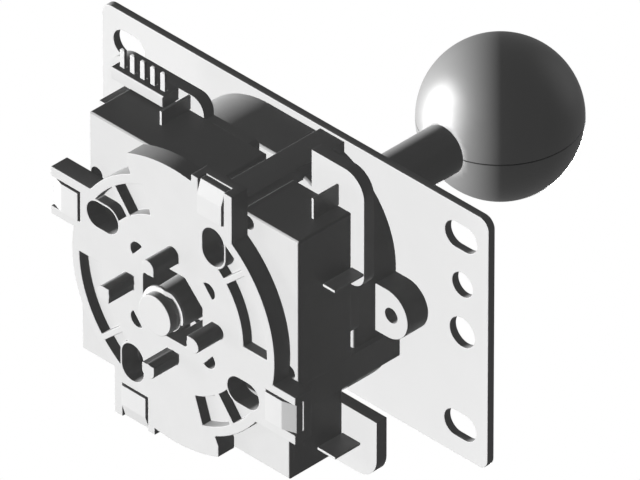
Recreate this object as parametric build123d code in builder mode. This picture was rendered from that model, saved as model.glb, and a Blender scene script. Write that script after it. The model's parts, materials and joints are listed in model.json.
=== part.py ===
from build123d import *
import math
import os

os.makedirs("parts", exist_ok=True)

# Arcade joystick lever for a control panel: a ball-topped shaft pivots in a moulded
# housing under a steel plate. Four switches sit on a board round the lever, and an
# octagonal restrictor gate, held by four latch arms, closes the underside.
# Millimetres. The origin is on the lever axis at the plate's upper face, and +Z points
# to the ball. Side n faces -Y, and sides e, s and w follow in quarter turns about +Z.

SIDES = ("n", "e", "s", "w")

# Mounting plate
PLATE_X = 95.0
PLATE_Y = 53.0
PLATE_T = 1.6
PLATE_CORNER_R = 2.2
SLOT_L = 7.7
SLOT_R = 2.65
SLOT_INSET_X = 6.7
SLOT_INSET_Y = 6.5
SIDE_HOLE_INSET = 6.3
SIDE_HOLE_R = 3.0
LOW_HOLE_Y = -10.1
LOW_HOLE_R = 2.45

# Housing under the plate, with an ear for a screw at two sides
BODY_HALF = 25.1
BODY_CORNER_R = 19.1
BODY_H = 10.2
BODY_EDGE = 0.4
BODY_WALL = 2.4
BODY_ROOF = 2.6
CORE_RIB = 1.8
CORE_RIBS = 4
CORE_CORNER_R = 1.0
CORE_DRAFT = 1.0
COLLAR_R = 10.8
COLLAR_GAP = 0.1
COLLAR_EDGE = 0.4
EAR_HALF = 5.0
EAR_ARC_X = 28.0
EAR_T = 5.15
EAR_HOLE_X = 29.0
EAR_HOLE_R = 1.5

# Countersunk screws from the plate into the ears
SCREW_GAP = 0.05
SCREW_HEAD_R = 2.8
SCREW_HEAD_H = 1.4
SCREW_HEAD_INSET = 0.1
SCREW_L = 5.0
SCREW_HOLE_GAP = 0.15
RECESS_W = 0.7
RECESS_L = 2.8
RECESS_DEPTH = 0.9

# Ball pivot
PIVOT_DROP = 5.0
PIVOT_R = 8.0
PIVOT_GAP = 0.08
PIVOT_ABOVE = 5.8
PIVOT_BELOW = 4.2
SEAT_DEPTH = 4.0
BORE_GAP = 0.15

# Shaft: the thick rod above the pivot, the stem below it and the threaded end on top
ROD_R = 4.75
STEM_R = 3.95
STEM_GAP = 0.05
STEM_PROUD = 4.4
STUD_R = 3.0
STUD_END_GAP = 0.5
STEM_EDGE = 0.12
STUD_EDGE = 0.4

# Ball knob and its brass insert
KNOB_R = 15.0
KNOB_RISE = 49.58
KNOB_FLAT_R = 5.2
INSERT_R = 4.5
INSERT_NECK_R = 4.0
INSERT_L = 12.0
INSERT_RIM = 3.0
INSERT_FLOOR = 1.5
FIT_GAP = 0.05

# Retaining ring in its groove near the stem's end
RING_R = 4.85
RING_T = 0.6
RING_RISE = 1.75
RING_SLIT = 1.0
RING_SLIT_X = 1.2
GROOVE_R = 3.3

# Spring, with the loose seat over it and the actuator under it
SPRING_SEAT_R = 9.4
SPRING_SEAT_BORE = 5.3
SPRING_SEAT_T = 1.1
SPRING_SEAT_LIP = 0.5
SPRING_SEAT_LIP_R = 6.5
RUNNING_GAP = 0.1
SPRING_R = 7.6
SPRING_WIRE_R = 0.45
SPRING_L = 4.2
SPRING_TURNS = 2.5
FLANGE_R = 8.6
FLANGE_T = 1.1
HUB_R = 6.4
HUB_RISE = 1.6
DRUM_R = 6.6
DRUM_L = 6.7
DRUM_TAPER = 1.6
NECK_R = 4.4

# Switch board
BOARD_T = 2.5
BOARD_CORE = 17.05
BOARD_BORE_R = 10.2
TAB_FAR = 33.0
TAB_NEAR = 9.4
TAB_OUT = 29.85
TAB_FAR_R = 4.7
TAB_NEAR_R = 2.9
STRIP_OUT = 26.1
STRIP_END = 1.8
STRIP_R = 1.0

# Switches on the board
CASE_LEFT = -24.7
CASE_RIGHT = 6.25
CASE_OUT = 26.9
CASE_IN = 12.6
CASE_H = 12.95
CASE_EDGE = 0.3
CASE_HOLE_R = 1.4
CASE_HOLE_LEFT = (-22.8, -14.5)
CASE_HOLE_RIGHT = (3.9, -24.5)
PLUNGER_TIP = 8.6
PLUNGER_W = 3.6
PLUNGER_H = 2.4
PLUNGER_INSIDE = 2.4
PLUNGER_TRAVEL = 0.8
PLUNGER_GAP = 0.1
PLUNGER_FLOOR = 0.3
PLUNGER_DOME = 0.9
BLADE_T = 0.5
SIDE_BLADE_X = -12.85
SIDE_BLADE_L = 2.9
SIDE_BLADE_H = 7.1
END_BLADE_Y = -23.5
END_BLADE_L = 4.3
END_BLADE_H = 6.2

# Five-pin header on the board's tab at side n
HEADER_X = -22.05
HEADER_L = 12.9
HEADER_OUT = 29.75
HEADER_IN = 27.45
HEADER_H = 3.86
HEADER_EDGE = 0.2
PIN_COUNT = 5
PIN_PITCH = 2.5
PIN_W = 1.1
PIN_T = 0.65
PIN_PROUD = 3.9
PIN_DROP = 2.49
PIN_LEG_OUT = 28.75
PIN_TAIL = 0.8
PIN_TIP = 0.3
PIN_GAP = 0.05
PIN_HOLE_GAP = 0.06

# Restrictor gate
GATE_GAP = 0.1
GATE_T = 4.0
GATE_R = 25.0
LOBE_INSET = 1.1
LOBE_EDGE = 11.15
LOBE_LEAD = 0.75
LOBE_LEAD_OUT = 24.5
LOBE_LEAD_IN = 22.9
GATE_TAB_OUT = 30.1
GATE_TAB_LEFT = 4.6
GATE_TAB_RIGHT = 14.6
WINDOW_DEPTH = 2.1
OCTAGON_FLAT = 7.3
OVAL_X = 10.0
OVAL_Y = -17.3
OVAL_L = 7.7
OVAL_R = 2.65
OVAL_WALL = 0.45
POCKET_IN_R = 17.4
POCKET_OUT_R = 23.1
POCKET_DEPTH = 2.1
POCKET_START_EW = 0.0
POCKET_START_NS = 18.4
RIB_W = 1.15
RIB_AT_EW = 41.8
RIB_AT_NS = 38.7
POST_W = 3.0
POST_IN = 9.6
POST_OUT = 12.5
POST_L = 6.1
MOON_X = 8.7
MOON_Y = 7.3
MOON_R = 1.65
MOON_TURN = 40.0

# Latch arms, one on each side of the housing
ARM_LEFT = 6.45
ARM_RIGHT = 12.45
ARM_IN = 23.05
ARM_OUT = 26.1
ARM_GAP = 0.15
BARB_INSET = 0.15
BARB_GAP = 0.05
NOSE_OUT = 27.15
NOSE_PROUD = 0.42
NOSE_RISE = 0.525

# Middles of the plate's holes, by their distance from its edges
slot_spacing_x = PLATE_X - 2 * SLOT_INSET_X
slot_spacing_y = PLATE_Y - 2 * SLOT_INSET_Y
side_hole_x = PLATE_X / 2 - SIDE_HOLE_INSET

# Heights along the lever axis, stacked from the plate downwards
body_top = -PLATE_T
body_bottom = body_top - BODY_H
board_bottom = body_bottom - BOARD_T
case_bottom = board_bottom - CASE_H
gate_top = case_bottom - GATE_GAP
gate_bottom = gate_top - GATE_T
window_floor = gate_bottom + WINDOW_DEPTH
lobe_r = GATE_TAB_OUT - LOBE_INSET
barb_out = GATE_TAB_OUT - BARB_INSET
pivot_z = body_top - PIVOT_DROP
stem_end = gate_bottom - STEM_PROUD
ring_bottom = stem_end + RING_RISE
ring_top = ring_bottom + RING_T
seat_top = body_bottom - RUNNING_GAP
seat_bottom = seat_top - SPRING_SEAT_T
flange_top = seat_bottom - SPRING_L
drum_bottom = flange_top - FLANGE_T - DRUM_L
plunger_z = board_bottom - CASE_H / 2
knob_seat = KNOB_RISE - math.sqrt(KNOB_R**2 - KNOB_FLAT_R**2)
stud_top = knob_seat + INSERT_L - INSERT_FLOOR - STUD_END_GAP


def turned(x, y, z, turn):
    """The point or direction (x, y, z) after quarter turns about the lever axis."""
    return Vector(x, y, z).rotate(Axis.Z, 90 * turn)


def side_plane(turn, z):
    """Level plane at height z, whose -Y faces the given side."""
    return Plane(origin=(0, 0, z), x_dir=turned(1, 0, 0, turn), z_dir=(0, 0, 1))


def section_plane(turn, x):
    """Upright plane across a side, x along it: outwards is its x and upwards its y."""
    return Plane(
        origin=turned(x, 0, 0, turn),
        x_dir=turned(0, -1, 0, turn),
        z_dir=turned(-1, 0, 0, turn),
    )


def finish(part, name):
    """Label one finished piece and write it."""
    part.label = name
    export_step(part, f"parts/{name}.step")


# Mounting plate: pressed steel, with a slot near each corner and a collar hole
with BuildPart() as mounting_plate:
    with BuildSketch(Plane.XY.offset(-PLATE_T)):
        RectangleRounded(PLATE_X, PLATE_Y, PLATE_CORNER_R)
        Circle(COLLAR_R + COLLAR_GAP, mode=Mode.SUBTRACT)
        with GridLocations(slot_spacing_x, slot_spacing_y, 2, 2):
            SlotOverall(SLOT_L, 2 * SLOT_R, mode=Mode.SUBTRACT)
        with Locations((side_hole_x, 0), (-side_hole_x, 0)):
            Circle(SIDE_HOLE_R, mode=Mode.SUBTRACT)
        with Locations((side_hole_x, LOW_HOLE_Y), (-side_hole_x, LOW_HOLE_Y)):
            Circle(LOW_HOLE_R, mode=Mode.SUBTRACT)
    extrude(amount=PLATE_T)
    with Locations((EAR_HOLE_X, 0, 0), (-EAR_HOLE_X, 0, 0)):
        CounterSinkHole(EAR_HOLE_R + SCREW_HOLE_GAP, SCREW_HEAD_R + SCREW_HOLE_GAP, PLATE_T, 90)
finish(mounting_plate.part, "mounting_plate")

# Plate screws: one in each ear, with a cross recess
with BuildPart() as plate_screws:
    with BuildSketch(Plane.XZ):
        with BuildLine():
            shank_r = EAR_HOLE_R - SCREW_GAP
            Polyline(
                (0, -SCREW_HEAD_INSET),
                (SCREW_HEAD_R, -SCREW_HEAD_INSET),
                (shank_r, -SCREW_HEAD_INSET - SCREW_HEAD_H),
                (shank_r, -SCREW_L + SCREW_GAP),
                (shank_r / 2, -SCREW_L - SCREW_GAP),
                (0, -SCREW_L - SCREW_GAP),
                close=True,
            )
        make_face()
    screw_turned = revolve(axis=Axis.Z, mode=Mode.PRIVATE)
    with Locations((EAR_HOLE_X, 0, 0), (-EAR_HOLE_X, 0, 0)):
        add(screw_turned)
    with BuildSketch(Plane.XY.offset(-SCREW_HEAD_INSET)):
        with Locations((EAR_HOLE_X, 0), (-EAR_HOLE_X, 0)):
            Rectangle(RECESS_L, RECESS_W)
            Rectangle(RECESS_W, RECESS_L)
    extrude(amount=-RECESS_DEPTH, mode=Mode.SUBTRACT)
finish(plate_screws.part, "plate_screws")

# Housing: moulded shell with collar, ears, ball seat, four latch arms and a ribbed core
with BuildPart() as main_body:
    with BuildSketch(Plane.XY.offset(body_bottom)):
        RectangleRounded(2 * BODY_HALF, 2 * BODY_HALF, BODY_CORNER_R)
    extrude(amount=BODY_H)
    chamfer(main_body.edges().group_by(Axis.Z)[0], BODY_EDGE)
    with BuildSketch(Plane.XY.offset(body_top - EAR_T)):
        with Locations((EAR_ARC_X, 0), (-EAR_ARC_X, 0)):
            Circle(EAR_HALF)
        Rectangle(2 * EAR_ARC_X, 2 * EAR_HALF)
    extrude(amount=EAR_T)
    with BuildSketch(Plane.XY.offset(body_top)):
        Circle(COLLAR_R)
    extrude(amount=PLATE_T)
    chamfer(main_body.edges().group_by(Axis.Z)[-1], COLLAR_EDGE)
    with BuildSketch(Plane.XY.offset(body_top - EAR_T)):
        with Locations((EAR_HOLE_X, 0), (-EAR_HOLE_X, 0)):
            Circle(EAR_HOLE_R)
    extrude(amount=EAR_T, mode=Mode.SUBTRACT)
    with BuildSketch(Plane.XY.offset(body_bottom)):
        core_half = BODY_HALF - BODY_WALL
        RectangleRounded(2 * core_half, 2 * core_half, BODY_CORNER_R - BODY_WALL)
        Circle(COLLAR_R, mode=Mode.SUBTRACT)
        for rib in range(CORE_RIBS):
            Rectangle(4 * core_half, CORE_RIB, rotation=180 * rib / CORE_RIBS, mode=Mode.SUBTRACT)
        offset(amount=-CORE_CORNER_R, mode=Mode.REPLACE)
        offset(amount=CORE_CORNER_R, mode=Mode.REPLACE)
    extrude(amount=BODY_H - BODY_ROOF, taper=CORE_DRAFT, mode=Mode.SUBTRACT)
    for turn in range(4):
        with BuildSketch(section_plane(turn, ARM_RIGHT)):
            with BuildLine():
                Polyline(
                    (ARM_IN, body_top),
                    (ARM_OUT, body_top),
                    (ARM_OUT, window_floor - BARB_GAP),
                    (barb_out, window_floor - BARB_GAP),
                    (barb_out, gate_bottom + NOSE_RISE),
                    (NOSE_OUT, gate_bottom - NOSE_PROUD),
                    (ARM_IN, gate_bottom - NOSE_PROUD),
                    close=True,
                )
            make_face()
        extrude(amount=ARM_RIGHT - ARM_LEFT)
    with BuildSketch(Plane.XZ):
        seat_r = PIVOT_R + PIVOT_GAP
        bore_r = PIVOT_R + BORE_GAP
        mouth_r = math.sqrt(seat_r**2 - SEAT_DEPTH**2)
        seat_turn = math.asin(SEAT_DEPTH / seat_r) / 2
        seat_mid = (seat_r * math.cos(seat_turn), pivot_z - seat_r * math.sin(seat_turn))
        with BuildLine():
            Line((0, 0), (bore_r, 0))
            Line((bore_r, 0), (bore_r, pivot_z))
            Line((bore_r, pivot_z), (seat_r, pivot_z))
            ThreePointArc((seat_r, pivot_z), seat_mid, (mouth_r, pivot_z - SEAT_DEPTH))
            Line((mouth_r, pivot_z - SEAT_DEPTH), (mouth_r, body_bottom))
            Line((mouth_r, body_bottom), (0, body_bottom))
            Line((0, body_bottom), (0, 0))
        make_face()
    revolve(axis=Axis.Z, mode=Mode.SUBTRACT)
finish(main_body.part, "main_body")

# Pivot ball: a truncated plastic ball that the stem passes through
with BuildPart() as pivot_ball:
    with Locations((0, 0, pivot_z)):
        Sphere(PIVOT_R)
    split(bisect_by=Plane.XY.offset(pivot_z + PIVOT_ABOVE), keep=Keep.BOTTOM)
    split(bisect_by=Plane.XY.offset(pivot_z - PIVOT_BELOW), keep=Keep.TOP)
    with Locations((0, 0, pivot_z)):
        Cylinder(STEM_R + STEM_GAP, 2 * PIVOT_R, mode=Mode.SUBTRACT)
finish(pivot_ball.part, "pivot_ball")

# Lever shaft: stud, rod, shoulder on the pivot ball, stem and ring groove
rod_bottom = pivot_z + PIVOT_ABOVE
with BuildPart() as lever_shaft:
    with BuildSketch(Plane.XZ):
        with BuildLine():
            Polyline(
                (0, stem_end),
                (STEM_R - STEM_EDGE, stem_end),
                (STEM_R, stem_end + STEM_EDGE),
                (STEM_R, ring_bottom),
                (GROOVE_R, ring_bottom),
                (GROOVE_R, ring_top),
                (STEM_R, ring_top),
                (STEM_R, rod_bottom),
                (ROD_R, rod_bottom),
                (ROD_R, knob_seat),
                (STUD_R, knob_seat),
                (STUD_R, stud_top - STUD_EDGE),
                (STUD_R - STUD_EDGE, stud_top),
                (0, stud_top),
                close=True,
            )
        make_face()
    revolve(axis=Axis.Z)
finish(lever_shaft.part, "lever_shaft")

# Knob insert: turned brass with a waist that locks it in the ball
with BuildPart() as knob_insert:
    with BuildSketch(Plane.XZ):
        with BuildLine():
            Polyline(
                (STUD_R + FIT_GAP, knob_seat),
                (INSERT_R, knob_seat),
                (INSERT_R, knob_seat + INSERT_RIM),
                (INSERT_NECK_R, knob_seat + INSERT_RIM),
                (INSERT_NECK_R, knob_seat + INSERT_L - INSERT_RIM),
                (INSERT_R, knob_seat + INSERT_L - INSERT_RIM),
                (INSERT_R, knob_seat + INSERT_L),
                (0, knob_seat + INSERT_L),
                (0, knob_seat + INSERT_L - INSERT_FLOOR),
                (STUD_R + FIT_GAP, knob_seat + INSERT_L - INSERT_FLOOR),
                close=True,
            )
        make_face()
    revolve(axis=Axis.Z)
finish(knob_insert.part, "knob_insert")

# Ball knob: moulded round its insert, flat where the rod meets it
with BuildPart() as ball_knob:
    with Locations((0, 0, KNOB_RISE)):
        Sphere(KNOB_R)
    split(bisect_by=Plane.XY.offset(knob_seat), keep=Keep.TOP)
    add(knob_insert.part, mode=Mode.SUBTRACT)
    with BuildSketch(Plane.XY.offset(knob_seat)):
        Circle(STUD_R + FIT_GAP)
    extrude(amount=INSERT_L - INSERT_FLOOR, mode=Mode.SUBTRACT)
finish(ball_knob.part, "ball_knob")

# Retaining ring: sprung steel, slit towards side n
with BuildPart() as e_ring:
    with BuildSketch(Plane.XY.offset(ring_bottom)):
        Circle(RING_R)
        Circle(GROOVE_R, mode=Mode.SUBTRACT)
        with Locations((RING_SLIT_X, -RING_R)):
            Rectangle(RING_SLIT, 2 * RING_R - GROOVE_R, mode=Mode.SUBTRACT)
    extrude(amount=RING_T)
finish(e_ring.part, "e_ring")

# Spring seat: the loose washer between the housing and the spring
with BuildPart() as spring_seat:
    with BuildSketch(Plane.XY.offset(seat_bottom)):
        Circle(SPRING_SEAT_R)
        Circle(SPRING_SEAT_BORE, mode=Mode.SUBTRACT)
    extrude(amount=SPRING_SEAT_T)
    with BuildSketch(Plane.XY.offset(seat_bottom - SPRING_SEAT_LIP)):
        Circle(SPRING_SEAT_LIP_R)
        Circle(SPRING_SEAT_BORE, mode=Mode.SUBTRACT)
    extrude(amount=SPRING_SEAT_LIP)
finish(spring_seat.part, "spring_seat")

# Return spring: round wire, seated face to face at both ends
spring_pitch = (SPRING_L - 2 * SPRING_WIRE_R) / SPRING_TURNS
spring_start = flange_top + SPRING_WIRE_R
with BuildPart() as return_spring:
    with BuildLine():
        coil = Helix(
            spring_pitch,
            SPRING_L - 2 * SPRING_WIRE_R,
            SPRING_R,
            center=(0, 0, spring_start),
        )
    with BuildSketch(Plane(origin=coil @ 0, z_dir=coil % 0)):
        Circle(SPRING_WIRE_R)
    sweep()
finish(return_spring.part, "return_spring")

# Actuator: flange and hub for the spring, drum for the switches and a slim neck
with BuildPart() as actuator:
    with BuildSketch(Plane.XZ):
        stem_bore = STEM_R + STEM_GAP
        with BuildLine():
            Polyline(
                (stem_bore, ring_top),
                (NECK_R, ring_top),
                (NECK_R, drum_bottom - DRUM_TAPER),
                (DRUM_R, drum_bottom),
                (DRUM_R, flange_top - FLANGE_T),
                (FLANGE_R, flange_top - FLANGE_T),
                (FLANGE_R, flange_top),
                (HUB_R, flange_top),
                (HUB_R, flange_top + HUB_RISE),
                (stem_bore, flange_top + HUB_RISE),
                close=True,
            )
        make_face()
    revolve(axis=Axis.Z)
finish(actuator.part, "actuator")

# Board wing: the tab and the strip that the switch board has on each side
with BuildSketch() as board_wing:
    with Locations((-(TAB_FAR + TAB_NEAR) / 2, -(TAB_OUT + BOARD_CORE) / 2)):
        Rectangle(TAB_FAR - TAB_NEAR, TAB_OUT - BOARD_CORE)
    tab_corners = board_wing.vertices().group_by(Axis.Y)[0].sort_by(Axis.X)
    fillet(tab_corners[0], TAB_FAR_R)
    tab_corners = board_wing.vertices().group_by(Axis.Y)[0].sort_by(Axis.X)
    fillet(tab_corners[-1], TAB_NEAR_R)
with BuildSketch() as board_strip:
    with Locations(((STRIP_END - TAB_NEAR - STRIP_R) / 2, -(STRIP_OUT + BOARD_CORE) / 2)):
        Rectangle(STRIP_END + TAB_NEAR + STRIP_R, STRIP_OUT - BOARD_CORE)
    fillet(board_strip.vertices().group_by(Axis.Y)[0].sort_by(Axis.X)[-1], STRIP_R)

# Header pins lie in a row along side n, each with a leg through the board
pin_places = [HEADER_X + PIN_PITCH * (i - (PIN_COUNT - 1) / 2) for i in range(PIN_COUNT)]
pin_front = board_bottom - PIN_DROP
pin_leg_y = -PIN_LEG_OUT + PIN_T / 2

# Switch board: the core, its wings, the bore for the lever and the holes for the pins
with BuildPart() as switch_board:
    with BuildSketch(Plane.XY.offset(board_bottom)):
        Rectangle(2 * BOARD_CORE, 2 * BOARD_CORE)
        for turn in range(4):
            add(board_wing.sketch, rotation=90 * turn)
            add(board_strip.sketch, rotation=90 * turn)
        Circle(BOARD_BORE_R, mode=Mode.SUBTRACT)
        with Locations([(x, pin_leg_y) for x in pin_places]):
            Circle(math.hypot(PIN_W, PIN_T) / 2 + PIN_HOLE_GAP, mode=Mode.SUBTRACT)
    extrude(amount=BOARD_T)
finish(switch_board.part, "switch_board")


def switch_case(turn):
    """Closed switch case with two mounting holes and the pocket of its plunger."""
    case_w = CASE_RIGHT - CASE_LEFT
    case_mid = (CASE_RIGHT + CASE_LEFT) / 2
    with BuildPart() as case:
        with BuildSketch(side_plane(turn, case_bottom)):
            with Locations((case_mid, -(CASE_OUT + CASE_IN) / 2)):
                Rectangle(case_w, CASE_OUT - CASE_IN)
        extrude(amount=CASE_H)
        chamfer(case.edges(), CASE_EDGE)
        with BuildSketch(side_plane(turn, case_bottom)):
            with Locations(CASE_HOLE_LEFT, CASE_HOLE_RIGHT):
                Circle(CASE_HOLE_R)
        extrude(amount=CASE_H, mode=Mode.SUBTRACT)
        pocket_depth = PLUNGER_INSIDE + PLUNGER_TRAVEL + PLUNGER_FLOOR
        pocket_h = PLUNGER_H + 2 * PLUNGER_GAP
        with BuildSketch(side_plane(turn, plunger_z - pocket_h / 2)):
            with Locations((0, -CASE_IN - pocket_depth / 2)):
                Rectangle(PLUNGER_W + 2 * PLUNGER_GAP, pocket_depth)
        extrude(amount=pocket_h, mode=Mode.SUBTRACT)
    return case.part


def switch_plunger(turn):
    """Plunger with a domed tip that stands out of its case towards the actuator."""
    length = CASE_IN - PLUNGER_TIP + PLUNGER_INSIDE
    with BuildPart() as plunger:
        with BuildSketch(side_plane(turn, plunger_z - PLUNGER_H / 2)) as outline:
            with Locations((0, -PLUNGER_TIP - length / 2)):
                Rectangle(PLUNGER_W, length)
            fillet(outline.vertices().group_by(Axis.Y)[-1], PLUNGER_DOME)
        extrude(amount=PLUNGER_H)
    return plunger.part


def switch_terminals(turn):
    """Two flat blades on the board, one at the case's outer side and one at its end."""
    with BuildPart() as blades:
        with BuildSketch(side_plane(turn, board_bottom)):
            with Locations((SIDE_BLADE_X, -CASE_OUT - SIDE_BLADE_L / 2)):
                Rectangle(BLADE_T, SIDE_BLADE_L)
        extrude(amount=-SIDE_BLADE_H)
        with BuildSketch(side_plane(turn, board_bottom)):
            with Locations((CASE_LEFT - END_BLADE_L / 2, END_BLADE_Y)):
                Rectangle(END_BLADE_L, BLADE_T)
        extrude(amount=-END_BLADE_H)
    return blades.part


# Four switches, each with its case, plunger and terminals in nodes of their own
for turn, side in enumerate(SIDES):
    finish(switch_case(turn), f"switch_case_{side}")
    finish(switch_plunger(turn), f"switch_plunger_{side}")
    finish(switch_terminals(turn), f"switch_terminals_{side}")

# Header pins: square wire, bent once towards the board
with BuildPart() as header_pins:
    leg_in = PIN_LEG_OUT - PIN_T
    for x in pin_places:
        with BuildSketch(section_plane(0, x + PIN_W / 2)):
            with BuildLine():
                Polyline(
                    (HEADER_OUT + PIN_PROUD, pin_front),
                    (HEADER_OUT + PIN_PROUD, pin_front + PIN_T),
                    (PIN_LEG_OUT, pin_front + PIN_T),
                    (PIN_LEG_OUT, body_bottom + PIN_TAIL),
                    (leg_in, body_bottom + PIN_TAIL),
                    (leg_in, pin_front),
                    close=True,
                )
            make_face()
        extrude(amount=PIN_W)
    chamfer(header_pins.edges().group_by(Axis.Y)[0], PIN_TIP)
finish(header_pins.part, "header_pins")

# Header housing: a bar on the board with an angled channel for each pin
with BuildPart() as header_housing:
    with BuildSketch(Plane.XY.offset(board_bottom)):
        with Locations((HEADER_X, -(HEADER_OUT + HEADER_IN) / 2)):
            Rectangle(HEADER_L, HEADER_OUT - HEADER_IN)
    extrude(amount=-HEADER_H)
    chamfer(header_housing.edges().group_by(Axis.Z)[0], HEADER_EDGE)
    channel_w = PIN_W + 2 * PIN_GAP
    for x in pin_places:
        with BuildSketch(section_plane(0, x + channel_w / 2)):
            with BuildLine():
                Polyline(
                    (HEADER_OUT, pin_front - PIN_GAP),
                    (HEADER_OUT, pin_front + PIN_T + PIN_GAP),
                    (PIN_LEG_OUT + PIN_GAP, pin_front + PIN_T + PIN_GAP),
                    (PIN_LEG_OUT + PIN_GAP, board_bottom),
                    (PIN_LEG_OUT - PIN_T - PIN_GAP, board_bottom),
                    (PIN_LEG_OUT - PIN_T - PIN_GAP, pin_front - PIN_GAP),
                    close=True,
                )
            make_face()
        extrude(amount=channel_w, mode=Mode.SUBTRACT)
finish(header_housing.part, "header_housing")

# Outlines that the gate repeats: the wide lobe, the tab and the oval hole of side n
with BuildSketch() as gate_lobe:
    Circle(lobe_r)
    with BuildLine():
        Polyline(
            (GATE_TAB_RIGHT - GATE_TAB_LEFT, -POST_OUT),
            (LOBE_LEAD - LOBE_EDGE, -POST_OUT),
            (LOBE_LEAD - LOBE_EDGE, -LOBE_LEAD_IN),
            (-LOBE_EDGE, -LOBE_LEAD_OUT),
            (-LOBE_EDGE, -lobe_r),
            (GATE_TAB_RIGHT - GATE_TAB_LEFT, -lobe_r),
            close=True,
        )
    make_face(mode=Mode.INTERSECT)
with BuildSketch() as gate_tab:
    with Locations(((GATE_TAB_LEFT + GATE_TAB_RIGHT) / 2, -(GATE_TAB_OUT + POCKET_IN_R) / 2)):
        Rectangle(GATE_TAB_RIGHT - GATE_TAB_LEFT, GATE_TAB_OUT - POCKET_IN_R)
with BuildSketch() as gate_oval:
    with Locations((OVAL_X, OVAL_Y)):
        SlotOverall(OVAL_L, 2 * OVAL_R, rotation=90)
with BuildSketch() as gate_moon:
    Circle(MOON_R)
    with Locations((-MOON_R, 0)):
        Rectangle(2 * MOON_R, 2 * MOON_R, mode=Mode.SUBTRACT)
with BuildSketch() as moon_holes:
    with Locations(Location((MOON_X, MOON_Y), MOON_TURN)):
        add(gate_moon.sketch)
    mirror(about=Plane.XZ)
    mirror(about=Plane.YZ)


def pocket_point(radius, angle):
    """Point of a side's ring pocket, at an angle from the side's middle."""
    return (-radius * math.sin(math.radians(angle)), -radius * math.cos(math.radians(angle)))


def ring_pocket(start, rib_at):
    """Outline of one side's ring pocket, with its rib and the wall round the next oval."""
    end = math.degrees(math.atan2(-OVAL_Y, OVAL_X))
    middle = (start + end) / 2
    with BuildSketch() as pocket:
        with BuildLine():
            Line(pocket_point(POCKET_IN_R, start), pocket_point(POCKET_OUT_R, start))
            ThreePointArc(*[pocket_point(POCKET_OUT_R, angle) for angle in (start, middle, end)])
            Line(pocket_point(POCKET_OUT_R, end), pocket_point(POCKET_IN_R, end))
            ThreePointArc(*[pocket_point(POCKET_IN_R, angle) for angle in (end, middle, start)])
        make_face()
        with Locations(pocket_point((POCKET_IN_R + POCKET_OUT_R) / 2, rib_at)):
            Rectangle(RIB_W, 2 * (POCKET_OUT_R - POCKET_IN_R), rotation=-rib_at, mode=Mode.SUBTRACT)
        with Locations((OVAL_Y, -OVAL_X)):
            SlotOverall(OVAL_L + 2 * OVAL_WALL, 2 * (OVAL_R + OVAL_WALL), mode=Mode.SUBTRACT)
    return pocket.sketch


# Restrictor gate: moulded disc with an octagonal opening, posts and latch windows
with BuildPart() as restrictor_gate:
    with BuildSketch(Plane.XY.offset(gate_bottom)):
        Circle(GATE_R)
        add(gate_lobe.sketch)
        add(gate_lobe.sketch, rotation=180)
        for turn in range(4):
            add(gate_tab.sketch, rotation=90 * turn)
        for turn in range(4):
            add(gate_oval.sketch, rotation=90 * turn, mode=Mode.SUBTRACT)
        RegularPolygon(OCTAGON_FLAT, 8, major_radius=False, rotation=22.5, mode=Mode.SUBTRACT)
        add(moon_holes.sketch, mode=Mode.SUBTRACT)
    extrude(amount=GATE_T)
    window_x = (ARM_LEFT + ARM_RIGHT) / 2
    window_w = ARM_RIGHT - ARM_LEFT + 2 * ARM_GAP
    window_in = ARM_IN - ARM_GAP
    slot_out = ARM_OUT + ARM_GAP
    for turn in range(4):
        with BuildSketch(side_plane(turn, gate_bottom)):
            with Locations((window_x, -(window_in + GATE_TAB_OUT) / 2)):
                Rectangle(window_w, GATE_TAB_OUT - window_in)
        extrude(amount=WINDOW_DEPTH, mode=Mode.SUBTRACT)
        with BuildSketch(side_plane(turn, gate_bottom)):
            with Locations((window_x, -(window_in + slot_out) / 2)):
                Rectangle(window_w, slot_out - window_in)
        extrude(amount=GATE_T, mode=Mode.SUBTRACT)
        start, rib_at = ((POCKET_START_NS, RIB_AT_NS), (POCKET_START_EW, RIB_AT_EW))[turn % 2]
        with BuildSketch(side_plane(turn, gate_bottom)):
            add(ring_pocket(start, rib_at))
        extrude(amount=POCKET_DEPTH, mode=Mode.SUBTRACT)
        with BuildSketch(side_plane(turn, gate_bottom)):
            with Locations((0, -POST_OUT + POST_W / 2)):
                Circle(POST_W / 2)
            with Locations((0, -(POST_IN + POST_OUT - POST_W / 2) / 2)):
                Rectangle(POST_W, POST_OUT - POST_W / 2 - POST_IN)
        extrude(amount=-POST_L)
finish(restrictor_gate.part, "restrictor_gate")
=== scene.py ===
import json
import math

import bmesh
import bpy
from mathutils import Matrix, Vector

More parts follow.
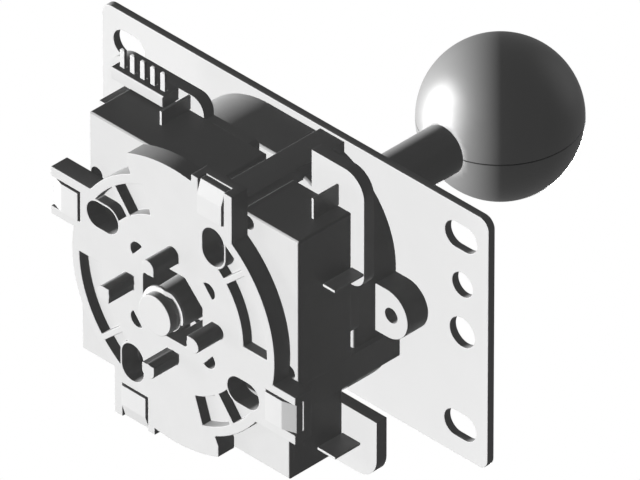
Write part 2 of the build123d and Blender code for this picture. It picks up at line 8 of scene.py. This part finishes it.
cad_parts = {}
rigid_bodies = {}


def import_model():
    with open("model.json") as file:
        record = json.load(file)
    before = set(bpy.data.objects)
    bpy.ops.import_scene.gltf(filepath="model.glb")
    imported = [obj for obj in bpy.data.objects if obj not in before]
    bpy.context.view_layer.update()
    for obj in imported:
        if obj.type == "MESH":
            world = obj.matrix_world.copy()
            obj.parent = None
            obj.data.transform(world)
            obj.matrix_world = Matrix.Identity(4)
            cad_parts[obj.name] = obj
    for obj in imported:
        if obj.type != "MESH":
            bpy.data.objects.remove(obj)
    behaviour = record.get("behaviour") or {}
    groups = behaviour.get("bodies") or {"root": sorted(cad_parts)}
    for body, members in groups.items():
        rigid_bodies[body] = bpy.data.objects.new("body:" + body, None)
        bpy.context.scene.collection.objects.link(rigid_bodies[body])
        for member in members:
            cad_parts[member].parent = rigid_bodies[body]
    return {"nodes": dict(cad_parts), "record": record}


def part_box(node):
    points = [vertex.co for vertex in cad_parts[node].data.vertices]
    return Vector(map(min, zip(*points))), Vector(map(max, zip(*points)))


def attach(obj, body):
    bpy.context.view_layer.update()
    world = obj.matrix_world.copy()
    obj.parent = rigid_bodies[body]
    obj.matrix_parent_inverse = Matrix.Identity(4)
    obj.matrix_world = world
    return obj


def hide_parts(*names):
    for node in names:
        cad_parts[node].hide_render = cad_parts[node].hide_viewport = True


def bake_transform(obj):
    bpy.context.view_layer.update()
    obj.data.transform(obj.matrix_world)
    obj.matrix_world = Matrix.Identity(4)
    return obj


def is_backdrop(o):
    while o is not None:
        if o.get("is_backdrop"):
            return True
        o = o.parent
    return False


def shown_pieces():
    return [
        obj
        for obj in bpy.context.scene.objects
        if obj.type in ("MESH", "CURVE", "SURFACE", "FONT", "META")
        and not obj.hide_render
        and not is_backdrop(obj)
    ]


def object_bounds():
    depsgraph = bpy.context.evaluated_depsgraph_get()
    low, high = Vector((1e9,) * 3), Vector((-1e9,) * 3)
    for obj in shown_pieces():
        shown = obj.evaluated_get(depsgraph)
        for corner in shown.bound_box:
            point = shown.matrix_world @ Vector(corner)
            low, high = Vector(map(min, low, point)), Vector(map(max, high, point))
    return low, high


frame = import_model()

cad_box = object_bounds()

# Arcade joystick lever, seen from its underside as in the drawing. Metres.
MM = 0.001
SIDES = ("n", "e", "s", "w")

# Picture: it is set by the middle of the plate's lower face, on the lever's axis
PLATE_T = 1.6 * MM
VIEW_OUT = Vector((1, -1, -1)).normalized()
VIEW_RIGHT = Vector((1, 0, 1)).normalized()
VIEW_UP = Vector((-1, -2, 1)).normalized()
PICTURE_W = 111.5 * MM
PICTURE_SHIFT_RIGHT = 4.524 * MM
PICTURE_SHIFT_UP = -0.784 * MM
LENS = 1250.0
SENSOR = 36.0

# Lamps: name, where the light comes from, strength, spread in degrees, whether it casts
# shadows, and whether matt surfaces show it. The key comes from the picture's left, nearly
# all of it without shadow, as in the drawing. A weaker lamp lights the far sides.
KEY_FROM = Vector((-1, 0, -1)).normalized()
BACK_FROM = Vector((-0.7, 1, 1)).normalized()
LAMPS = (
    ("key_open", KEY_FROM, 4.7, 2, False, True),
    ("key_soft", KEY_FROM, 0.2, 12, True, True),
    ("key_gloss", KEY_FROM, 9.0, 62, False, False),
    ("back_soft", BACK_FROM, 2.3, 6, True, True),
)

# Studio: the even light that matt surfaces get, the even light that gloss shows, and two
# bright windows in it. A window has a direction, the cosines of the angles from it at which
# its light begins and is full, and a strength.
SOFTBOX_AT = Vector((0.2, -0.2, 1)).normalized()
STUDIO_FILL = 0.055
STUDIO_GLOSS = 0.24
WINDOWS = ((KEY_FROM, 0.15, 0.75, 0.4), (SOFTBOX_AT, 0.85, 1.0, 0.25))

# Floor
FLOOR_SIZE = 8.0
FLOOR_DROP = 0.2 * MM
FLOOR_TONE = 0.86
FLOOR_ROUGHNESS = 0.9

# Relief and tone that every finish has
FINE_DETAIL = 3.0
FINE_ROUGHNESS = 0.55
BROAD_DETAIL = 2.0
BROAD_TIMES = 14
LEAST_ROUGHNESS = 0.02
EVEN = (1, 1, 1)
ROLLED = (1, 14, 1)
TURNED = (0.02, 0.02, 1)

# Ball knob, with painted shade, near black, in its parting groove
BALL_R = 15.0 * MM
BALL_SEGMENTS = 96
BALL_RINGS = 64
BALL_SEAM_W = 0.3 * MM
BALL_SEAM_DEPTH = 0.16 * MM
# Painted shade: distances from the parting plane within which it is full and beyond which it
# ends, and its near-black tone
SEAM_SHADE_BAND = (0.07 * MM, 0.17 * MM)
SEAM_SHADE_TONE = 0.01
INSERT_R = 4.5 * MM

# Retaining ring: it steps up into one slim arm round the sleeve's neck, and beside the arm
# it is open. Angles are in degrees from +X towards +Y.
RING_ARM = (-74, 16)
RING_ARM_RISE = 0.6 * MM
RING_ARM_IN_R = 4.16 * MM
RING_ARM_OUT_R = 4.64 * MM
RING_OPENING = (14, 80)
RING_SLIT_Y = -3.0 * MM

# Sleeve and stem: the radius of the neck's end, and how far the drum's end and the neck's
# top rise, so that neither shows in the octagon. The stem's groove is all that lies within
# one radius beside the ring, and it is shown at another.
NECK_END_R = 4.12 * MM
DRUM_PAST_R = 6.0 * MM
DRUM_END_UP = 2.0 * MM
NECK_TOP_UP = 3.3 * MM
GROOVE_PAST_R = 3.7 * MM
GROOVE_SHOWN_R = 3.9 * MM

# Screws, whose tips end deeper in the ears, and header, which is proud of the board's edge
SCREW_TIP_H = 0.2 * MM
SCREW_TIP_IN = 0.5 * MM
HEADER_FRONT_OUT = 0.15 * MM

# Return spring
SPRING_R = 7.6 * MM
SPRING_WIRE_R = 0.45 * MM
SPRING_WIRE_SIDES = 12
SPRING_TURNS = 2.5
SPRING_STEPS_A_TURN = 40
SPRING_SMOOTH = 40

# Solder joints on the board's upper side, one round each header tail and each terminal's
# foot. Each rises in steps of a height and of how far its ring draws in.
SOLDER_SIDES = 20
SOLDER_SMOOTH = 50
TAIL_SOLDER_R = 1.15 * MM
FOOT_SOLDER_R = 1.3 * MM
TAIL_SOLDER = ((0.03, 0.94), (0.07, 0.84), (0.1, 0.86), (0.14, 0.9), (0.16, 0.95))
FOOT_SOLDER = ((0.05, 0.95), (0.12, 0.84), (0.16, 0.84), (0.18, 0.82), (0.12, 0.66), (0.05, 0.4))
PIN_COUNT = 5
PIN_PITCH = 2.5 * MM
PIN_ROW_X = -22.05 * MM
PIN_LEG_Y = -28.425 * MM
TERMINAL_FEET = ((-12.85 * MM, -28.35 * MM), (-26.85 * MM, -23.5 * MM))

# Radius that each moulded, pressed or turned piece has along its edges. The housing's
# latch noses have a blunt crease, so its own limit for an edge is lower.
EDGES = {
    "mounting_plate": 0.16 * MM,
    "main_body": 0.14 * MM,
    "restrictor_gate": 0.18 * MM,
    "switch_board": 0.06 * MM,
    "header_housing": 0.05 * MM,
    "header_pins": 0.04 * MM,
    "lever_shaft": 0.04 * MM,
    "e_ring": 0.04 * MM,
    "actuator": 0.04 * MM,
    "spring_seat": 0.12 * MM,
    "pivot_ball": 0.12 * MM,
    "plate_screws": 0.06 * MM,
}
CASE_EDGE = 0.08 * MM
PLUNGER_EDGE = 0.12 * MM
BLADE_EDGE = 0.06 * MM
EDGE_SEGMENTS = 2
EDGE_ANGLE = 34
CREASE_ANGLE = {"main_body": 17}
SMOOTH_ANGLE = 32
FACE_WEIGHT = 100

# Margins: a vertex counts as on a level within HAIR where this script made the level, and
# within NEAR where the solids have it. A face looks along an axis when its normal goes
# FACING of the way along it. Faces that differ by less than ONE_FLAT degrees are one flat.
HAIR = 0.001 * MM
NEAR = 0.05 * MM
FACING = 0.99
ONE_FLAT = 0.3


def set_camera():
    """Long lens at the drawing's isometric angle, so that parallel edges stay parallel."""
    data = bpy.data.cameras.new("camera")
    data.type = "PERSP"
    data.lens = LENS
    data.sensor_width = SENSOR
    distance = PICTURE_W * LENS / SENSOR
    data.clip_start = distance / 10
    data.clip_end = distance * 10
    camera = bpy.data.objects.new("camera", data)
    bpy.context.scene.collection.objects.link(camera)
    centre = Vector((0, 0, -PLATE_T))
    centre += VIEW_RIGHT * PICTURE_SHIFT_RIGHT + VIEW_UP * PICTURE_SHIFT_UP
    turn = Matrix((VIEW_RIGHT, VIEW_UP, VIEW_OUT)).transposed().to_4x4()
    camera.matrix_world = Matrix.Translation(centre + VIEW_OUT * distance) @ turn
    bpy.context.scene.camera = camera


def sun_lamp(name, source, strength, spread, shadow, matt):
    """Even light from one direction; without matt it shows on glossy surfaces alone."""
    data = bpy.data.lights.new(name, "SUN")
    data.energy = strength
    data.angle = math.radians(spread)
    data.use_shadow = shadow
    lamp = bpy.data.objects.new(name, data)
    lamp.visible_diffuse = matt
    lamp.rotation_mode = "QUATERNION"
    lamp.rotation_quaternion = source.to_track_quat("Z", "Y")
    bpy.context.scene.collection.objects.link(lamp)


def world_window(nodes, links, direction, begin, full, strength):
    """Part of the studio round one direction that is bright to a given strength."""
    coords = nodes.new("ShaderNodeTexCoord")
    toward = nodes.new("ShaderNodeVectorMath")
    toward.operation = "DOT_PRODUCT"
    toward.inputs[1].default_value = direction
    links.new(coords.outputs["Generated"], toward.inputs[0])
    window = nodes.new("ShaderNodeMapRange")
    window.interpolation_type = "SMOOTHSTEP"
    window.inputs["From Min"].default_value = begin
    window.inputs["From Max"].default_value = full
    window.inputs["To Max"].default_value = strength
    links.new(toward.outputs["Value"], window.inputs["Value"])
    return window.outputs["Result"]


def set_world():
    """White behind the object, a dim fill, and bright windows that gloss shows."""
    world = bpy.data.worlds.new("studio")
    bpy.context.scene.world = world
    world.use_nodes = True
    nodes, links = world.node_tree.nodes, world.node_tree.links
    nodes.clear()
    even = nodes.new("ShaderNodeValue")
    even.outputs[0].default_value = STUDIO_GLOSS
    gloss = even.outputs[0]
    for window in WINDOWS:
        both = nodes.new("ShaderNodeMath")
        both.operation = "ADD"
        links.new(world_window(nodes, links, *window), both.inputs[0])
        links.new(gloss, both.inputs[1])
        gloss = both.outputs["Value"]
    path = nodes.new("ShaderNodeLightPath")
    light = nodes.new("ShaderNodeMix")
    light.inputs["A"].default_value = STUDIO_FILL
    links.new(path.outputs["Is Glossy Ray"], light.inputs["Factor"])
    links.new(gloss, light.inputs["B"])
    seen = nodes.new("ShaderNodeMix")
    seen.inputs["B"].default_value = 1.0
    links.new(path.outputs["Is Camera Ray"], seen.inputs["Factor"])
    links.new(light.outputs["Result"], seen.inputs["A"])
    background = nodes.new("ShaderNodeBackground")
    background.inputs["Color"].default_value = (1, 1, 1, 1)
    links.new(seen.outputs["Result"], background.inputs["Strength"])
    output = nodes.new("ShaderNodeOutputWorld")
    links.new(background.outputs["Background"], output.inputs["Surface"])


def set_floor():
    """Pale floor at the object's lowest point, open from below as the drawing looks up."""
    lowest = cad_box[0].z
    bpy.ops.object.select_all(action="DESELECT")
    bpy.ops.mesh.primitive_plane_add(size=FLOOR_SIZE, location=(0, 0, lowest - FLOOR_DROP))
    floor = bpy.context.active_object
    floor.name = "floor"
    floor.visible_shadow = False
    floor.visible_diffuse = False
    floor.visible_glossy = False
    material = bpy.data.materials.new("floor_paper")
    material.use_nodes = True
    nodes, links = material.node_tree.nodes, material.node_tree.links
    paper = nodes["Principled BSDF"]
    paper.inputs["Base Color"].default_value = (*grey(FLOOR_TONE), 1)
    paper.inputs["Roughness"].default_value = FLOOR_ROUGHNESS
    side = nodes.new("ShaderNodeNewGeometry")
    clear = nodes.new("ShaderNodeBsdfTransparent")
    mix = nodes.new("ShaderNodeMixShader")
    links.new(side.outputs["Backfacing"], mix.inputs["Fac"])
    links.new(paper.outputs["BSDF"], mix.inputs[1])
    links.new(clear.outputs["BSDF"], mix.inputs[2])
    links.new(mix.outputs["Shader"], nodes["Material Output"].inputs["Surface"])
    floor.data.materials.append(material)
    floor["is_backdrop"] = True


def grey(value):
    return (value, value, value)


def finish_material(name, colour, roughness, metallic, grain, stretch, depth, shade,
                    rough_spread=0.06, specular=0.1):
    """Surface whose tone, gloss and fine relief vary with the piece's own coordinates.

    grain is the fine relief's size in waves per metre and depth its height in mm.
    stretch draws the relief out along an axis, as rolling or turning does. shade and
    rough_spread are how far the tone and the roughness vary.
    """
    material = bpy.data.materials.new(name)
    material.use_nodes = True
    nodes, links = material.node_tree.nodes, material.node_tree.links
    surface = nodes["Principled BSDF"]
    surface.inputs["Metallic"].default_value = metallic
    surface.inputs["Specular IOR Level"].default_value = specular
    coords = nodes.new("ShaderNodeTexCoord")
    mapping = nodes.new("ShaderNodeMapping")
    mapping.inputs["Scale"].default_value = stretch
    links.new(coords.outputs["Object"], mapping.inputs["Vector"])

    fine = nodes.new("ShaderNodeTexNoise")
    fine.inputs["Scale"].default_value = grain
    fine.inputs["Detail"].default_value = FINE_DETAIL
    fine.inputs["Roughness"].default_value = FINE_ROUGHNESS
    links.new(mapping.outputs["Vector"], fine.inputs["Vector"])

    broad = nodes.new("ShaderNodeTexNoise")
    broad.inputs["Scale"].default_value = grain / BROAD_TIMES
    broad.inputs["Detail"].default_value = BROAD_DETAIL
    links.new(coords.outputs["Object"], broad.inputs["Vector"])

    tone = nodes.new("ShaderNodeMix")
    tone.data_type = "RGBA"
    tone.inputs["A"].default_value = [c * (1 - shade) for c in colour] + [1]
    tone.inputs["B"].default_value = [min(1, c * (1 + shade)) for c in colour] + [1]
    links.new(broad.outputs["Fac"], tone.inputs["Factor"])
    links.new(tone.outputs["Result"], surface.inputs["Base Color"])

    gloss = nodes.new("ShaderNodeMapRange")
    gloss.inputs["To Min"].default_value = max(LEAST_ROUGHNESS, roughness - rough_spread)
    gloss.inputs["To Max"].default_value = min(1, roughness + rough_spread)
    links.new(fine.outputs["Fac"], gloss.inputs["Value"])
    links.new(gloss.outputs["Result"], surface.inputs["Roughness"])

    relief = nodes.new("ShaderNodeBump")
    relief.inputs["Strength"].default_value = 1.0
    relief.inputs["Distance"].default_value = depth * MM
    links.new(fine.outputs["Fac"], relief.inputs["Height"])
    links.new(relief.outputs["Normal"], surface.inputs["Normal"])
    return material


def paint_seam_shade(material):
    """Painted shade in the ball's parting groove, which lies in the plane y = 0: the colour goes
    near black in a band round that plane.
    """
    nodes, links = material.node_tree.nodes, material.node_tree.links
    surface = nodes["Principled BSDF"]
    unshaded = surface.inputs["Base Color"].links[0].from_socket
    coords = nodes.new("ShaderNodeTexCoord")
    split = nodes.new("ShaderNodeSeparateXYZ")
    links.new(coords.outputs["Object"], split.inputs["Vector"])
    away = nodes.new("ShaderNodeMath")
    away.operation = "ABSOLUTE"
    links.new(split.outputs["Y"], away.inputs[0])
    shade_share = nodes.new("ShaderNodeMapRange")
    shade_share.inputs["From Min"].default_value = SEAM_SHADE_BAND[0]
    shade_share.inputs["From Max"].default_value = SEAM_SHADE_BAND[1]
    links.new(away.outputs["Value"], shade_share.inputs["Value"])
    # Painted shade: near black at the parting plane, the ball's own colour beyond the band
    tone = nodes.new("ShaderNodeMix")
    tone.data_type = "RGBA"
    tone.inputs["A"].default_value = (*grey(SEAM_SHADE_TONE), 1)
    links.new(shade_share.outputs["Result"], tone.inputs["Factor"])
    links.new(unshaded, tone.inputs["B"])
    links.new(tone.outputs["Result"], surface.inputs["Base Color"])


# Finishes: slot, colour, roughness, metallic, grain, stretch, depth and shade, and for the
# polished ball also rough_spread and specular
FINISHES = (
    ("plated_steel", grey(0.66), 0.46, 0.02, 1500, ROLLED, 0.003, 0.02),
    ("screw_steel", grey(0.72), 0.34, 0.9, 2500, EVEN, 0.003, 0.04),
    ("shaft_steel", grey(0.61), 0.44, 0.03, 2600, TURNED, 0.0006, 0.02),
    ("spring_steel", grey(0.70), 0.40, 0.06, 2200, EVEN, 0.003, 0.05),
    ("body_plastic", grey(0.68), 0.50, 0, 2800, EVEN, 0.008, 0.03),
    ("gate_plastic", grey(0.65), 0.46, 0, 2800, EVEN, 0.006, 0.03),
    ("case_plastic", grey(0.64), 0.42, 0, 3200, EVEN, 0.005, 0.03),
    ("bearing_plastic", grey(0.66), 0.38, 0, 2600, EVEN, 0.004, 0.03),
    ("board_laminate", grey(0.68), 0.40, 0, 1800, EVEN, 0.004, 0.04),
    ("header_plastic", grey(0.63), 0.45, 0, 3000, EVEN, 0.005, 0.03),
    ("tinned_metal", grey(0.68), 0.42, 0.04, 2400, EVEN, 0.002, 0.05),
    ("knob_plastic", grey(0.385), 0.36, 0, 700, EVEN, 0.001, 0.02, 0.03, 1.0),
    ("insert_brass", (0.72, 0.56, 0.28), 0.3, 1.0, 2400, EVEN, 0.002, 0.05),
)
finishes = {row[0]: finish_material(*row) for row in FINISHES}
# Painted shade in the ball's parting groove
paint_seam_shade(finishes["knob_plastic"])
slot_of = {row["node"]: row["material_slot"] for row in frame["record"]["subparts"]}
bodies = frame["record"]["behaviour"]["bodies"]
body_of = {node: body for body, nodes in bodies.items() for node in nodes}


def choose(thing):
    """Make one object the only selected one, and the active one."""
    bpy.ops.object.select_all(action="DESELECT")
    bpy.context.view_layer.objects.active = thing
    thing.select_set(True)


def edit(piece, kind):
    """Edit mode on one piece, with nothing selected, to pick vertices, edges or faces."""
    choose(piece)
    bpy.ops.object.mode_set(mode="EDIT")
    bpy.ops.mesh.select_mode(type=kind)
    bpy.ops.mesh.select_all(action="DESELECT")


def pick(piece, kind, wanted):
    """Select what passes the test, which gets a place and, for a face, its normal.

    A face counts by its middle, and an edge when both its ends pass.
    """
    mesh = bmesh.from_edit_mesh(piece.data)
    if kind == "FACE":
        for face in mesh.faces:
            face.select_set(wanted(face.calc_center_median(), face.normal))
    elif kind == "EDGE":
        for edge in mesh.edges:
            edge.select_set(all(wanted(vertex.co) for vertex in edge.verts))
    else:
        for vertex in mesh.verts:
            vertex.select_set(wanted(vertex.co))
    mesh.select_flush_mode()
    bmesh.update_edit_mesh(piece.data)


def leave_edit():
    bpy.ops.object.mode_set(mode="OBJECT")


def place_in_mesh(piece):
    """Move the object's place into its mesh, so that it sits at the origin."""
    choose(piece)
    bpy.ops.object.transform_apply(location=True, rotation=True, scale=True)


def smooth(piece, degrees=SMOOTH_ANGLE):
    """Smooth shading that keeps the edges sharper than the given angle."""
    choose(piece)
    bpy.ops.object.shade_smooth_by_angle(angle=math.radians(degrees))


def coat(piece, finish):
    """Give a finished piece its material and the slot that it stands for."""
    piece.data.materials.clear()
    piece.data.materials.append(finishes[finish])


def hang_on(piece, body, finish):
    """Coat a finished piece and let it ride on its body."""
    coat(piece, finish)
    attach(piece, body)


def to_radius(piece, wanted, radius):
    """Scale the picked vertices of one circle about the lever's axis to a new radius."""
    now = min(vertex.co.xy.length for vertex in piece.data.vertices if wanted(vertex.co))
    edit(piece, "VERT")
    pick(piece, "VERT", wanted)
    bpy.ops.transform.resize(value=(radius / now, radius / now, 1), center_override=(0, 0, 0))
    leave_edit()


def shift(piece, wanted, way):
    """Move the picked vertices."""
    edit(piece, "VERT")
    pick(piece, "VERT", wanted)
    bpy.ops.transform.translate(value=way)
    leave_edit()


def angle_of(at):
    """Direction from the lever's axis, in degrees from +X towards +Y."""
    return math.degrees(math.atan2(at.y, at.x))


def on_arm(at):
    return RING_ARM[0] < angle_of(at) < RING_ARM[1]


def shape_ring(ring):
    """Close the ring's slit, open its side, and step it up into the slim arm."""
    edit(ring, "FACE")
    pick(ring, "FACE", lambda at, normal: abs(normal.x) > FACING and at.y < RING_SLIT_Y)
    bpy.ops.mesh.bridge_edge_loops()
    for side in RING_OPENING:
        bpy.ops.mesh.select_all(action="SELECT")
        across = Vector((-math.sin(math.radians(side)), math.cos(math.radians(side)), 0))
        bpy.ops.mesh.bisect(plane_co=(0, 0, 0), plane_no=across)
    pick(ring, "FACE", lambda at, normal: RING_OPENING[0] < angle_of(at) < RING_OPENING[1])
    bpy.ops.mesh.delete(type="FACE")
    bpy.ops.mesh.select_mode(type="VERT")
    bpy.ops.mesh.select_all(action="SELECT")
    bpy.ops.mesh.fill_holes(sides=0)
    bpy.ops.mesh.normals_make_consistent(inside=False)
    leave_edit()
    middle = (RING_ARM_IN_R + RING_ARM_OUT_R) / 2
    to_radius(ring, lambda at: on_arm(at) and at.xy.length < middle, RING_ARM_IN_R)
    to_radius(ring, lambda at: on_arm(at) and at.xy.length > middle, RING_ARM_OUT_R)
    shift(ring, on_arm, (0, 0, RING_ARM_RISE))


def shape_sleeve(sleeve):
    """Draft on the sleeve's neck, which ends flush with the stem, and a drum that ends higher."""
    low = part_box("actuator")[0].z
    bore = min(vertex.co.xy.length for vertex in sleeve.data.vertices)
    to_radius(sleeve, lambda at: at.z < low + NEAR and at.xy.length > bore + NEAR, NECK_END_R)
    places = [vertex.co for vertex in sleeve.data.vertices]
    drum_end = min(at.z for at in places if at.xy.length > DRUM_PAST_R)
    shift(sleeve, lambda at: abs(at.z - drum_end) < NEAR, (0, 0, DRUM_END_UP))
    shift(sleeve, lambda at: low + NEAR < at.z < drum_end - NEAR, (0, 0, NECK_TOP_UP))


def shape_shaft(shaft):
    """The stem's groove as far as the ring leaves it open."""
    low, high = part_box("e_ring")
    to_radius(
        shaft,
        lambda at: low.z - NEAR < at.z < high.z + NEAR and at.xy.length < GROOVE_PAST_R,
        GROOVE_SHOWN_R,
    )


def shape_screws(screws):
    """Tips so deep in the ears that their holes are dark all over, as drawn."""
    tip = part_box("plate_screws")[0].z
    shift(screws, lambda at: at.z < tip + SCREW_TIP_H, (0, 0, SCREW_TIP_IN))


def shape_header(header):
    """Front face that stands a little proud of the board's edge, as drawn."""
    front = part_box("header_housing")[0].y
    shift(header, lambda at: at.y < front + NEAR, (0, -HEADER_FRONT_OUT, 0))


SHAPERS = {
    "e_ring": shape_ring,
    "actuator": shape_sleeve,
    "lever_shaft": shape_shaft,
    "plate_screws": shape_screws,
    "header_housing": shape_header,
}


def rounded_piece(node, edge):
    """The node's form with its edges rounded as tools and moulds leave them."""
    choose(frame["nodes"][node])
    bpy.ops.object.duplicate()
    piece = bpy.context.active_object
    piece.name = node + "_rounded"
    bpy.ops.object.parent_clear(type="CLEAR_KEEP_TRANSFORM")
    bpy.ops.mesh.customdata_custom_splitnormals_clear()
    edit(piece, "VERT")
    bpy.ops.mesh.select_all(action="SELECT")
    bpy.ops.mesh.remove_doubles(threshold=HAIR)
    bpy.ops.mesh.dissolve_limited(angle_limit=math.radians(ONE_FLAT))
    leave_edit()
    if node in SHAPERS:
        SHAPERS[node](piece)
    bevel = piece.modifiers.new("edges", "BEVEL")
    bevel.width = edge
    bevel.segments = EDGE_SEGMENTS
    bevel.limit_method = "ANGLE"
    bevel.angle_limit = math.radians(CREASE_ANGLE.get(node, EDGE_ANGLE))
    bevel.use_clamp_overlap = False
    bpy.ops.object.modifier_apply(modifier=bevel.name)
    smooth(piece)
    weighted = piece.modifiers.new("flats", "WEIGHTED_NORMAL")
    weighted.keep_sharp = True
    weighted.weight = FACE_WEIGHT
    bpy.ops.object.modifier_apply(modifier=weighted.name)
    hang_on(piece, body_of[node], slot_of[node])
    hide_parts(node)


def make_ball():
    """Moulded ball: parted round its middle, flat and bored where the insert sits."""
    low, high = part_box("ball_knob")
    centre = high.z - BALL_R
    bpy.ops.object.select_all(action="DESELECT")
    bpy.ops.mesh.primitive_uv_sphere_add(
        segments=BALL_SEGMENTS,
        ring_count=BALL_RINGS,
        radius=BALL_R,
        location=(0, 0, centre),
        rotation=(math.pi / 2, 0, 0),
    )
    ball = bpy.context.active_object
    ball.name = "ball_moulded"
    place_in_mesh(ball)
    edit(ball, "EDGE")
    pick(ball, "EDGE", lambda at: abs(at.y) < HAIR)
    bpy.ops.mesh.bevel(offset=BALL_SEAM_W / 2, segments=2, affect="EDGES")
    bpy.ops.mesh.select_mode(type="VERT")
    pick(ball, "VERT", lambda at: abs(at.y) < HAIR)
    bpy.ops.transform.shrink_fatten(value=-BALL_SEAM_DEPTH)
    bpy.ops.mesh.select_all(action="SELECT")
    bpy.ops.mesh.bisect(
        plane_co=(0, 0, low.z), plane_no=(0, 0, 1), use_fill=True, clear_inner=True
    )
    bpy.ops.mesh.select_mode(type="FACE")
    pick(ball, "FACE", lambda at, normal: at.z < low.z + HAIR and normal.z < -FACING)
    flat_r = math.sqrt(BALL_R**2 - (centre - low.z) ** 2)
    bpy.ops.mesh.inset(thickness=flat_r - INSERT_R)
    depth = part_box("knob_insert")[1].z - low.z
    bpy.ops.mesh.extrude_region_move(TRANSFORM_OT_translate={"value": (0, 0, depth)})
    leave_edit()
    smooth(ball)
    hang_on(ball, body_of["ball_knob"], slot_of["ball_knob"])
    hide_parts("ball_knob")


def make_spring():
    """Round wire wound between the loose seat and the actuator."""
    low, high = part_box("return_spring")
    bpy.ops.object.select_all(action="DESELECT")
    bpy.ops.mesh.primitive_circle_add(
        vertices=SPRING_WIRE_SIDES,
        radius=SPRING_WIRE_R,
        location=(SPRING_R, 0, low.z + SPRING_WIRE_R),
        rotation=(math.pi / 2, 0, 0),
    )
    spring = bpy.context.active_object
    spring.name = "spring_wound"
    place_in_mesh(spring)
    wind = spring.modifiers.new("wind", "SCREW")
    wind.angle = math.tau * SPRING_TURNS
    wind.screw_offset = high.z - low.z - 2 * SPRING_WIRE_R
    wind.steps = int(SPRING_STEPS_A_TURN * SPRING_TURNS)
    wind.render_steps = wind.steps
    bpy.ops.object.modifier_apply(modifier=wind.name)
    edit(spring, "VERT")
    bpy.ops.mesh.select_all(action="SELECT")
    bpy.ops.mesh.fill_holes(sides=0)
    bpy.ops.mesh.normals_make_consistent(inside=False)
    leave_edit()
    smooth(spring, SPRING_SMOOTH)
    coat(spring, slot_of["return_spring"])
    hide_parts("return_spring")
    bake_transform(spring)


def solder_mound(name, radius, steps):
    """One solder joint at the origin, wet to the board and drawn in as it rises."""
    bpy.ops.object.select_all(action="DESELECT")
    bpy.ops.mesh.primitive_circle_add(vertices=SOLDER_SIDES, radius=radius, fill_type="NGON")
    mound = bpy.context.active_object
    mound.name = name
    edit(mound, "FACE")
    bpy.ops.mesh.select_all(action="SELECT")
    for rise, share in steps:
        bpy.ops.mesh.extrude_region_move(TRANSFORM_OT_translate={"value": (0, 0, rise * MM)})
        bpy.ops.transform.resize(value=(share, share, 1))
    bpy.ops.mesh.select_all(action="SELECT")
    bpy.ops.mesh.normals_make_consistent(inside=False)
    leave_edit()
    return mound


def solder_row(name, radius, steps, places):
    """A joint at each place on the board's upper side, as one piece."""
    board_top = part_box("switch_board")[1].z
    mound = solder_mound(name, radius, steps)
    copies = []
    for x, y in places:
        choose(mound)
        bpy.ops.object.duplicate()
        copy = bpy.context.active_object
        copy.location = (x, y, board_top)
        copies.append(copy)
    bpy.data.objects.remove(mound)
    bpy.ops.object.select_all(action="DESELECT")
    for copy in copies:
        copy.select_set(True)
    bpy.context.view_layer.objects.active = copies[0]
    bpy.ops.object.join()
    row = bpy.context.active_object
    row.name = name
    place_in_mesh(row)
    smooth(row, SOLDER_SMOOTH)
    hang_on(row, "housing", "tinned_metal")


def make_solder():
    first_x = PIN_ROW_X - PIN_PITCH * (PIN_COUNT - 1) / 2
    tails = [(first_x + PIN_PITCH * i, PIN_LEG_Y) for i in range(PIN_COUNT)]
    solder_row("header_solder", TAIL_SOLDER_R, TAIL_SOLDER, tails)
    for turn, side in enumerate(SIDES):
        quarter = Matrix.Rotation(turn * math.pi / 2, 2)
        feet = [quarter @ Vector(place) for place in TERMINAL_FEET]
        solder_row("terminal_solder_" + side, FOOT_SOLDER_R, FOOT_SOLDER, feet)


bpy.context.scene.view_settings.view_transform = "Standard"
set_camera()
for lamp in LAMPS:
    sun_lamp(*lamp)
set_world()
set_floor()
for node, edge in EDGES.items():
    rounded_piece(node, edge)
for side in SIDES:
    rounded_piece("switch_case_" + side, CASE_EDGE)
    rounded_piece("switch_plunger_" + side, PLUNGER_EDGE)
    rounded_piece("switch_terminals_" + side, BLADE_EDGE)
make_ball()
make_spring()
make_solder()

# The drawing has no light that one piece throws on another
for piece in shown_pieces():
    piece.visible_diffuse = False

# The brass insert keeps the solid's form
frame["nodes"]["knob_insert"].data.materials.clear()
frame["nodes"]["knob_insert"].data.materials.append(finishes[slot_of["knob_insert"]])
